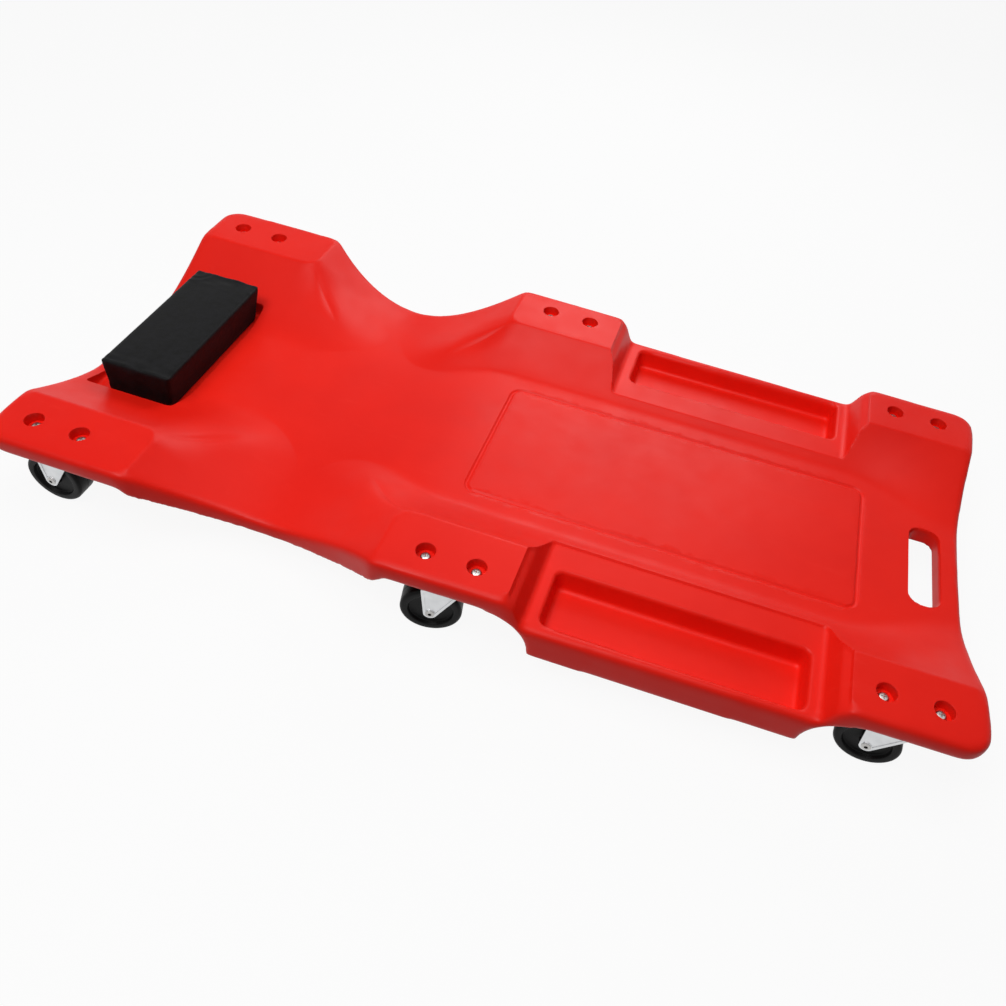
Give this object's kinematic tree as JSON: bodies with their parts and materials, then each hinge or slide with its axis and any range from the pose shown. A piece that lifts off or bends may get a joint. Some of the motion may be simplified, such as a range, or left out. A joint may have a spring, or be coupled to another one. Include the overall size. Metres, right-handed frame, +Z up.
{
  "type": "mechanics creeper",
  "caption": "Low mechanics creeper: a contoured moulded deck with a padded headrest, side tool trays and a hand slot, rolling on swivel casters.",
  "frame": {"origin": "on the ground below the middle of the deck", "axes": "+X to the foot end, +Y to the left of a user lying on the deck, +Z up"},
  "size_m": [1.016, 0.4978, 0.1043],
  "materials": {
    "red_plastic": "satin moulded polyethylene",
    "black_vinyl": "low-sheen vinyl",
    "board": "raw board",
    "zinc_steel": "bright zinc plate",
    "steel_fastener": "zinc plated",
    "black_wheel": "moulded"
  },
  "bodies": {
    "root": {"deck": "red_plastic", "headrest_cushion": "black_vinyl", "headrest_board": "board", "headrest_screws": "steel_fastener", "caster_bolts": "steel_fastener", "caster_washers": "steel_fastener", "caster_nuts": "steel_fastener", "head_right_mount_plate": "zinc_steel", "head_right_kingpin": "zinc_steel", "head_left_mount_plate": "zinc_steel", "head_left_kingpin": "zinc_steel", "mid_right_mount_plate": "zinc_steel", "mid_right_kingpin": "zinc_steel", "mid_left_mount_plate": "zinc_steel", "mid_left_kingpin": "zinc_steel", "foot_right_mount_plate": "zinc_steel", "foot_right_kingpin": "zinc_steel", "foot_left_mount_plate": "zinc_steel", "foot_left_kingpin": "zinc_steel"},
    "head_right_swivel": {"head_right_fork": "zinc_steel", "head_right_ball_ring": "steel_fastener", "head_right_axle": "steel_fastener"},
    "head_right_roller": {"head_right_wheel": "black_wheel"},
    "head_left_swivel": {"head_left_fork": "zinc_steel", "head_left_ball_ring": "steel_fastener", "head_left_axle": "steel_fastener"},
    "head_left_roller": {"head_left_wheel": "black_wheel"},
    "mid_right_swivel": {"mid_right_fork": "zinc_steel", "mid_right_ball_ring": "steel_fastener", "mid_right_axle": "steel_fastener"},
    "mid_right_roller": {"mid_right_wheel": "black_wheel"},
    "mid_left_swivel": {"mid_left_fork": "zinc_steel", "mid_left_ball_ring": "steel_fastener", "mid_left_axle": "steel_fastener"},
    "mid_left_roller": {"mid_left_wheel": "black_wheel"},
    "foot_right_swivel": {"foot_right_fork": "zinc_steel", "foot_right_ball_ring": "steel_fastener", "foot_right_axle": "steel_fastener"},
    "foot_right_roller": {"foot_right_wheel": "black_wheel"},
    "foot_left_swivel": {"foot_left_fork": "zinc_steel", "foot_left_ball_ring": "steel_fastener", "foot_left_axle": "steel_fastener"},
    "foot_left_roller": {"foot_left_wheel": "black_wheel"}
  },
  "joints": [
    {"name": "head_right_swivel_turn", "type": "hinge", "parent": "root", "child": "head_right_swivel", "pos_m": [-0.442, -0.209, 0.0725], "axis": [0, 0, 1], "continuous": true},
    {"name": "head_right_wheel_roll", "type": "hinge", "parent": "head_right_swivel", "child": "head_right_roller", "pos_m": [-0.4577, -0.20892, 0.03175], "axis": [-0.0052, -1, 0], "continuous": true},
    {"name": "head_left_swivel_turn", "type": "hinge", "parent": "root", "child": "head_left_swivel", "pos_m": [-0.442, 0.209, 0.0725], "axis": [0, 0, 1], "continuous": true},
    {"name": "head_left_wheel_roll", "type": "hinge", "parent": "head_left_swivel", "child": "head_left_roller", "pos_m": [-0.4577, 0.20892, 0.03175], "axis": [0.0052, -1, 0], "continuous": true},
    {"name": "mid_right_swivel_turn", "type": "hinge", "parent": "root", "child": "mid_right_swivel", "pos_m": [-0.008, -0.2156, 0.0725], "axis": [0, 0, 1], "continuous": true},
    {"name": "mid_right_wheel_roll", "type": "hinge", "parent": "mid_right_swivel", "child": "mid_right_roller", "pos_m": [-0.02334, -0.21895, 0.03175], "axis": [0.213, -0.977, 0], "continuous": true},
    {"name": "mid_left_swivel_turn", "type": "hinge", "parent": "root", "child": "mid_left_swivel", "pos_m": [-0.008, 0.2156, 0.0725], "axis": [0, 0, 1], "continuous": true},
    {"name": "mid_left_wheel_roll", "type": "hinge", "parent": "mid_left_swivel", "child": "mid_left_roller", "pos_m": [-0.02334, 0.21895, 0.03175], "axis": [-0.213, -0.977, 0], "continuous": true},
    {"name": "foot_right_swivel_turn", "type": "hinge", "parent": "root", "child": "foot_right_swivel", "pos_m": [0.438, -0.2083, 0.0725], "axis": [0, 0, 1], "continuous": true},
    {"name": "foot_right_wheel_roll", "type": "hinge", "parent": "foot_right_swivel", "child": "foot_right_roller", "pos_m": [0.42241, -0.20644, 0.03175], "axis": [-0.1184, -0.993, 0], "continuous": true},
    {"name": "foot_left_swivel_turn", "type": "hinge", "parent": "root", "child": "foot_left_swivel", "pos_m": [0.438, 0.2083, 0.0725], "axis": [0, 0, 1], "continuous": true},
    {"name": "foot_left_wheel_roll", "type": "hinge", "parent": "foot_left_swivel", "child": "foot_left_roller", "pos_m": [0.42241, 0.20644, 0.03175], "axis": [0.1184, -0.993, 0], "continuous": true}
  ]
}
